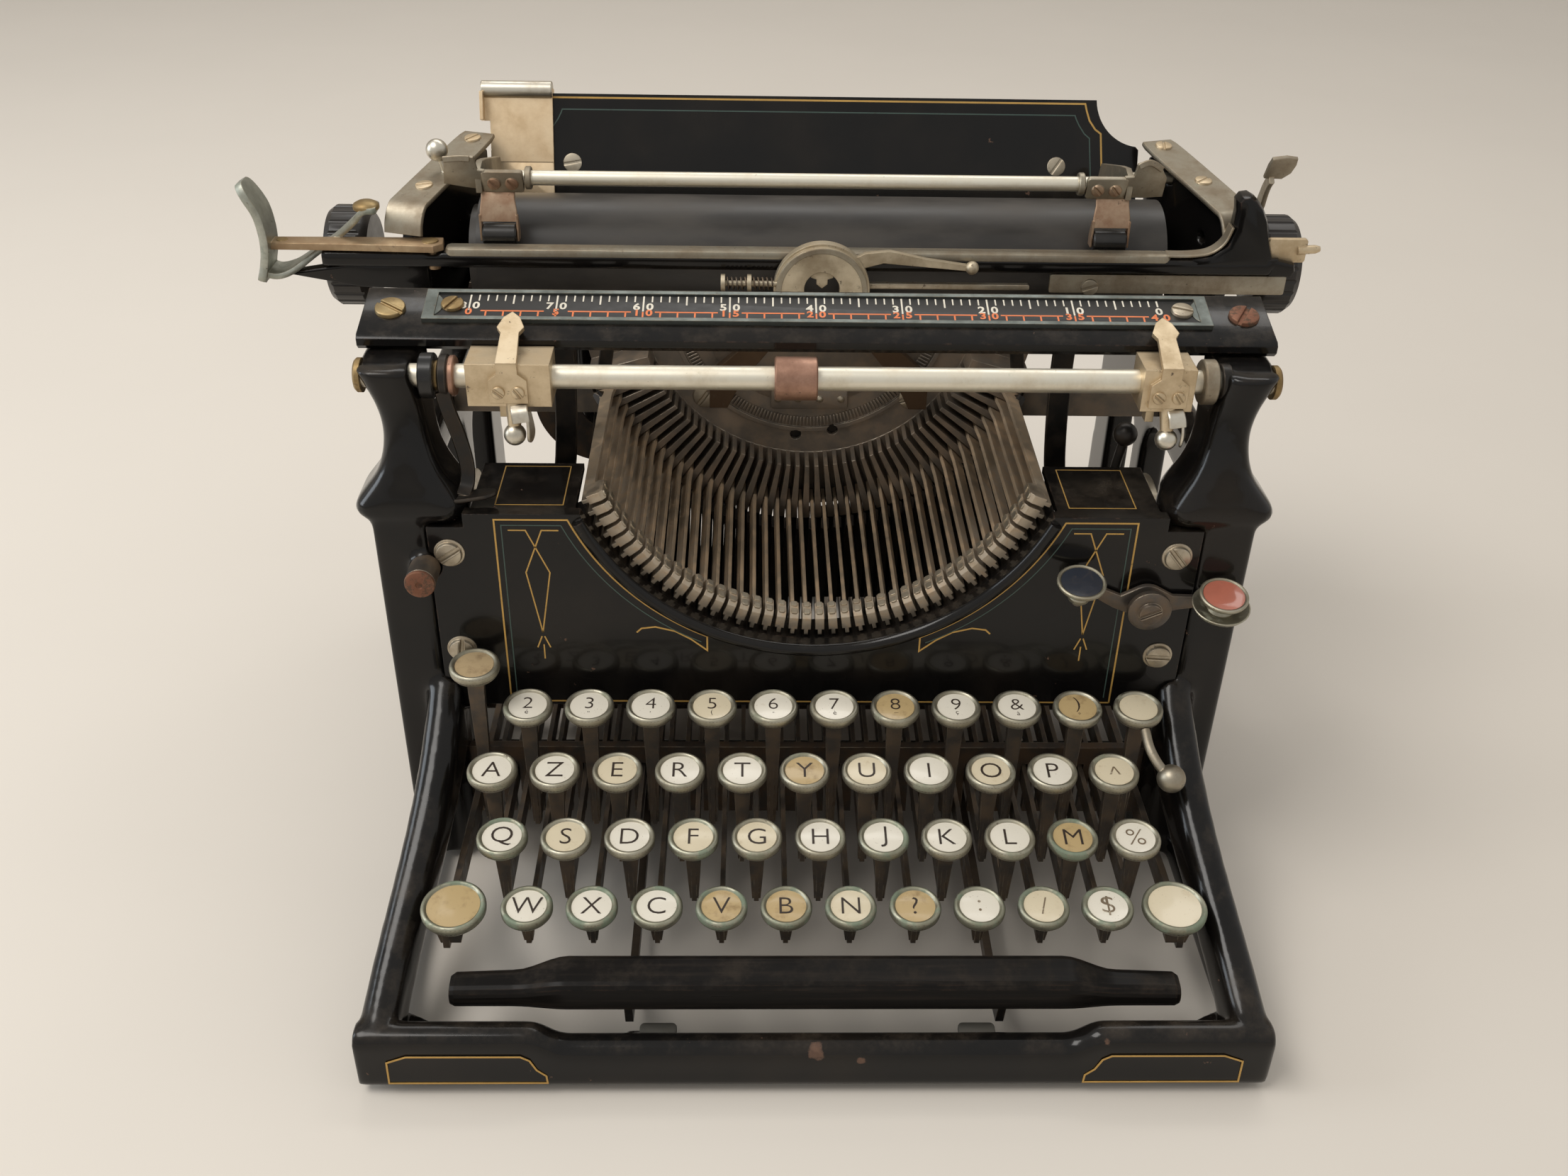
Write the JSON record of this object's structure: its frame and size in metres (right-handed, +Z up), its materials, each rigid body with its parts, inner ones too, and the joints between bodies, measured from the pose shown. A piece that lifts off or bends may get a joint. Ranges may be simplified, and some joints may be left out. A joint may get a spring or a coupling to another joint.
{
  "type": "typewriter",
  "caption": "Black enamelled front-strike office typewriter with round glass-topped keys, an open typebar basket and a sliding carriage with a rubber platen.",
  "frame": {"origin": "on the table, under the middle of the whole width and depth", "axes": "+X to the typist's right along the carriage, +Y away from the typist, +Z up"},
  "size_m": [0.3556, 0.272, 0.219],
  "materials": {
    "black_enamel": "glossy baked enamel with chips",
    "foot_rubber": "matte",
    "oiled_steel": "dull, oiled and dusty",
    "aged_nickel": "aged nickel plate, worn to brown at edges",
    "worn_brass": "nickel worn through to brass",
    "black_wood": "black lacquer",
    "platen_rubber": "hardened, slightly shiny",
    "knob_ebonite": "hard rubber",
    "key_nickel": "nickel ring round a paper disc under glass"
  },
  "bodies": {
    "frame": {"base_frame": "black_enamel", "rubber_feet": "foot_rubber", "front_plate": "black_enamel", "type_segment": "oiled_steel", "typebars": "oiled_steel", "typebar_rest": "oiled_steel", "scale_rail": "black_enamel", "margin_scale": "aged_nickel", "stop_rod": "aged_nickel", "type_guide": "aged_nickel", "guide_springs": "aged_nickel", "lever_comb": "oiled_steel", "figure_keys": "key_nickel", "sign_keys": "key_nickel", "ribbon_spools": "oiled_steel", "carriage_rail": "oiled_steel"},
    "carriage": {"carriage_frame": "black_enamel", "end_strips": "aged_nickel", "paper_table": "black_enamel"},
    "platen_roller": {"platen": "platen_rubber", "platen_knobs": "knob_ebonite"},
    "return_lever": {"return_lever": "worn_brass"},
    "paper_bail": {"paper_bail": "aged_nickel"},
    "paper_release": {"paper_release": "aged_nickel"},
    "paper_guide": {"paper_guide": "aged_nickel"},
    "margin_stop_left": {"margin_stop_left": "aged_nickel"},
    "margin_stop_right": {"margin_stop_right": "aged_nickel"},
    "ribbon_selector": {"ribbon_selector": "aged_nickel"},
    "space_bar": {"space_bar": "black_wood"},
    "shift_keys": {"shift_keys": "key_nickel"},
    "backspace_key": {"backspace_key": "key_nickel"},
    "tab_key": {"tab_key": "key_nickel"},
    "typebar_y": {"typebar_y": "oiled_steel"},
    "mainspring_drum": {"mainspring_drum": "oiled_steel"},
    "key_a": {"key_a": "key_nickel"},
    "key_z": {"key_z": "key_nickel"},
    "key_e": {"key_e": "key_nickel"},
    "key_r": {"key_r": "key_nickel"},
    "key_t": {"key_t": "key_nickel"},
    "key_y": {"key_y": "key_nickel"},
    "key_u": {"key_u": "key_nickel"},
    "key_i": {"key_i": "key_nickel"},
    "key_o": {"key_o": "key_nickel"},
    "key_p": {"key_p": "key_nickel"},
    "key_q": {"key_q": "key_nickel"},
    "key_s": {"key_s": "key_nickel"},
    "key_d": {"key_d": "key_nickel"},
    "key_f": {"key_f": "key_nickel"},
    "key_g": {"key_g": "key_nickel"},
    "key_h": {"key_h": "key_nickel"},
    "key_j": {"key_j": "key_nickel"},
    "key_k": {"key_k": "key_nickel"},
    "key_l": {"key_l": "key_nickel"},
    "key_m": {"key_m": "key_nickel"},
    "key_w": {"key_w": "key_nickel"},
    "key_x": {"key_x": "key_nickel"},
    "key_c": {"key_c": "key_nickel"},
    "key_v": {"key_v": "key_nickel"},
    "key_b": {"key_b": "key_nickel"},
    "key_n": {"key_n": "key_nickel"}
  },
  "joints": [
    {"name": "carriage_slide", "type": "slide", "parent": "frame", "child": "carriage", "axis": [1, 0, 0], "range_m": [-0.095, 0.095]},
    {"name": "platen_turn", "type": "hinge", "parent": "carriage", "child": "platen_roller", "pos_m": [0.01275, 0.08, 0.172], "axis": [1, 0, 0], "continuous": true},
    {"name": "return_pull", "type": "hinge", "parent": "carriage", "child": "return_lever", "pos_m": [-0.11525, 0.0512, 0.1867], "axis": [0, 0, 1], "range_deg": [0, 25], "stiffness_Nm_per_rad": 0.05, "springref_deg": -5.73},
    {"name": "bail_lift", "type": "hinge", "parent": "carriage", "child": "paper_bail", "pos_m": [0.01275, 0.096, 0.197], "axis": [-1, 0, 0], "range_deg": [0, 60]},
    {"name": "release_pull", "type": "hinge", "parent": "carriage", "child": "paper_release", "pos_m": [0.15075, 0.073, 0.184], "axis": [1, 0, 0], "range_deg": [0, 9]},
    {"name": "guide_slide", "type": "slide", "parent": "carriage", "child": "paper_guide", "axis": [1, 0, 0], "range_m": [0, 0.06]},
    {"name": "left_stop_slide", "type": "slide", "parent": "frame", "child": "margin_stop_left", "axis": [1, 0, 0], "range_m": [-0.003, 0.055]},
    {"name": "right_stop_slide", "type": "slide", "parent": "frame", "child": "margin_stop_right", "axis": [1, 0, 0], "range_m": [-0.085, 0.003]},
    {"name": "selector_rock", "type": "hinge", "parent": "frame", "child": "ribbon_selector", "pos_m": [0.11025, -0.038, 0.1085], "axis": [0, 1, 0], "range_deg": [-10, 10]},
    {"name": "space_press", "type": "hinge", "parent": "frame", "child": "space_bar", "pos_m": [0.00875, 0.01, 0.011], "axis": [1, 0, 0], "range_deg": [0, 2.8], "stiffness_Nm_per_rad": 1.5, "springref_deg": -5.73},
    {"name": "shift_press", "type": "hinge", "parent": "frame", "child": "shift_keys", "pos_m": [0.00875, 0.03, 0.016], "axis": [1, 0, 0], "range_deg": [0, 3.5], "stiffness_Nm_per_rad": 1.5, "springref_deg": -5.73},
    {"name": "backspace_press", "type": "hinge", "parent": "frame", "child": "backspace_key", "pos_m": [-0.09545, 0.1, 0.031], "axis": [1, 0, 0], "range_deg": [0, 4.2], "stiffness_Nm_per_rad": 0.5, "springref_deg": -6.88},
    {"name": "tab_press", "type": "hinge", "parent": "frame", "child": "tab_key", "pos_m": [0.11065, 0.1, 0.031], "axis": [1, 0, 0], "range_deg": [0, 4.2], "stiffness_Nm_per_rad": 0.5, "springref_deg": -6.88},
    {"name": "press_a", "type": "hinge", "parent": "frame", "child": "key_a", "pos_m": [-0.08945, 0.1, 0.031], "axis": [1, 0, 0], "range_deg": [0, 4.2], "stiffness_Nm_per_rad": 0.5, "springref_deg": -6.88},
    {"name": "press_z", "type": "hinge", "parent": "frame", "child": "key_z", "pos_m": [-0.0704, 0.1, 0.031], "axis": [1, 0, 0], "range_deg": [0, 4.2], "stiffness_Nm_per_rad": 0.5, "springref_deg": -6.88},
    {"name": "press_e", "type": "hinge", "parent": "frame", "child": "key_e", "pos_m": [-0.05135, 0.1, 0.031], "axis": [1, 0, 0], "range_deg": [0, 4.2], "stiffness_Nm_per_rad": 0.5, "springref_deg": -6.88},
    {"name": "press_r", "type": "hinge", "parent": "frame", "child": "key_r", "pos_m": [-0.0323, 0.1, 0.031], "axis": [1, 0, 0], "range_deg": [0, 4.2], "stiffness_Nm_per_rad": 0.5, "springref_deg": -6.88},
    {"name": "press_t", "type": "hinge", "parent": "frame", "child": "key_t", "pos_m": [-0.01325, 0.1, 0.031], "axis": [1, 0, 0], "range_deg": [0, 4.2], "stiffness_Nm_per_rad": 0.5, "springref_deg": -6.88},
    {"name": "press_y", "type": "hinge", "parent": "frame", "child": "key_y", "pos_m": [0.0058, 0.1, 0.031], "axis": [1, 0, 0], "range_deg": [0, 4.2], "stiffness_Nm_per_rad": 0.5, "springref_deg": -6.88},
    {"name": "press_u", "type": "hinge", "parent": "frame", "child": "key_u", "pos_m": [0.02485, 0.1, 0.031], "axis": [1, 0, 0], "range_deg": [0, 4.2], "stiffness_Nm_per_rad": 0.5, "springref_deg": -6.88},
    {"name": "press_i", "type": "hinge", "parent": "frame", "child": "key_i", "pos_m": [0.0439, 0.1, 0.031], "axis": [1, 0, 0], "range_deg": [0, 4.2], "stiffness_Nm_per_rad": 0.5, "springref_deg": -6.88},
    {"name": "press_o", "type": "hinge", "parent": "frame", "child": "key_o", "pos_m": [0.06295, 0.1, 0.031], "axis": [1, 0, 0], "range_deg": [0, 4.2], "stiffness_Nm_per_rad": 0.5, "springref_deg": -6.88},
    {"name": "press_p", "type": "hinge", "parent": "frame", "child": "key_p", "pos_m": [0.082, 0.1, 0.031], "axis": [1, 0, 0], "range_deg": [0, 4.2], "stiffness_Nm_per_rad": 0.5, "springref_deg": -6.88},
    {"name": "press_q", "type": "hinge", "parent": "frame", "child": "key_q", "pos_m": [-0.08495, 0.1, 0.031], "axis": [1, 0, 0], "range_deg": [0, 4.2], "stiffness_Nm_per_rad": 0.5, "springref_deg": -6.88},
    {"name": "press_s", "type": "hinge", "parent": "frame", "child": "key_s", "pos_m": [-0.0659, 0.1, 0.031], "axis": [1, 0, 0], "range_deg": [0, 4.2], "stiffness_Nm_per_rad": 0.5, "springref_deg": -6.88},
    {"name": "press_d", "type": "hinge", "parent": "frame", "child": "key_d", "pos_m": [-0.04685, 0.1, 0.031], "axis": [1, 0, 0], "range_deg": [0, 4.2], "stiffness_Nm_per_rad": 0.5, "springref_deg": -6.88},
    {"name": "press_f", "type": "hinge", "parent": "frame", "child": "key_f", "pos_m": [-0.0278, 0.1, 0.031], "axis": [1, 0, 0], "range_deg": [0, 4.2], "stiffness_Nm_per_rad": 0.5, "springref_deg": -6.88},
    {"name": "press_g", "type": "hinge", "parent": "frame", "child": "key_g", "pos_m": [-0.00875, 0.1, 0.031], "axis": [1, 0, 0], "range_deg": [0, 4.2], "stiffness_Nm_per_rad": 0.5, "springref_deg": -6.88},
    {"name": "press_h", "type": "hinge", "parent": "frame", "child": "key_h", "pos_m": [0.0103, 0.1, 0.031], "axis": [1, 0, 0], "range_deg": [0, 4.2], "stiffness_Nm_per_rad": 0.5, "springref_deg": -6.88},
    {"name": "press_j", "type": "hinge", "parent": "frame", "child": "key_j", "pos_m": [0.02935, 0.1, 0.031], "axis": [1, 0, 0], "range_deg": [0, 4.2], "stiffness_Nm_per_rad": 0.5, "springref_deg": -6.88},
    {"name": "press_k", "type": "hinge", "parent": "frame", "child": "key_k", "pos_m": [0.0484, 0.1, 0.031], "axis": [1, 0, 0], "range_deg": [0, 4.2], "stiffness_Nm_per_rad": 0.5, "springref_deg": -6.88},
    {"name": "press_l", "type": "hinge", "parent": "frame", "child": "key_l", "pos_m": [0.06745, 0.1, 0.031], "axis": [1, 0, 0], "range_deg": [0, 4.2], "stiffness_Nm_per_rad": 0.5, "springref_deg": -6.88},
    {"name": "press_m", "type": "hinge", "parent": "frame", "child": "key_m", "pos_m": [0.0865, 0.1, 0.031], "axis": [1, 0, 0], "range_deg": [0, 4.2], "stiffness_Nm_per_rad": 0.5, "springref_deg": -6.88},
    {"name": "press_w", "type": "hinge", "parent": "frame", "child": "key_w", "pos_m": [-0.07625, 0.1, 0.031], "axis": [1, 0, 0], "range_deg": [0, 4.2], "stiffness_Nm_per_rad": 0.5, "springref_deg": -6.88},
    {"name": "press_x", "type": "hinge", "parent": "frame", "child": "key_x", "pos_m": [-0.0572, 0.1, 0.031], "axis": [1, 0, 0], "range_deg": [0, 4.2], "stiffness_Nm_per_rad": 0.5, "springref_deg": -6.88},
    {"name": "press_c", "type": "hinge", "parent": "frame", "child": "key_c", "pos_m": [-0.03815, 0.1, 0.031], "axis": [1, 0, 0], "range_deg": [0, 4.2], "stiffness_Nm_per_rad": 0.5, "springref_deg": -6.88},
    {"name": "press_v", "type": "hinge", "parent": "frame", "child": "key_v", "pos_m": [-0.0191, 0.1, 0.031], "axis": [1, 0, 0], "range_deg": [0, 4.2], "stiffness_Nm_per_rad": 0.5, "springref_deg": -6.88},
    {"name": "press_b", "type": "hinge", "parent": "frame", "child": "key_b", "pos_m": [-0.00005, 0.1, 0.031], "axis": [1, 0, 0], "range_deg": [0, 4.2], "stiffness_Nm_per_rad": 0.5, "springref_deg": -6.88},
    {"name": "press_n", "type": "hinge", "parent": "frame", "child": "key_n", "pos_m": [0.019, 0.1, 0.031], "axis": [1, 0, 0], "range_deg": [0, 4.2], "stiffness_Nm_per_rad": 0.5, "springref_deg": -6.88},
    {"name": "typebar_swing", "type": "hinge", "parent": "frame", "child": "typebar_y", "pos_m": [0.01089, 0.052, 0.09203], "axis": [-0.9996, 0, -0.0289], "range_deg": [0, 90]},
    {"name": "drum_turn", "type": "hinge", "parent": "frame", "child": "mainspring_drum", "pos_m": [-0.06925, 0.1115, 0.1], "axis": [0, 1, 0], "range_deg": [-220, 220]}
  ],
  "couplings": [
    {"joint": "typebar_swing", "follows": "press_y", "ratio": 21.4},
    {"joint": "drum_turn", "follows": "carriage_slide", "rad_per_m": 40}
  ]
}
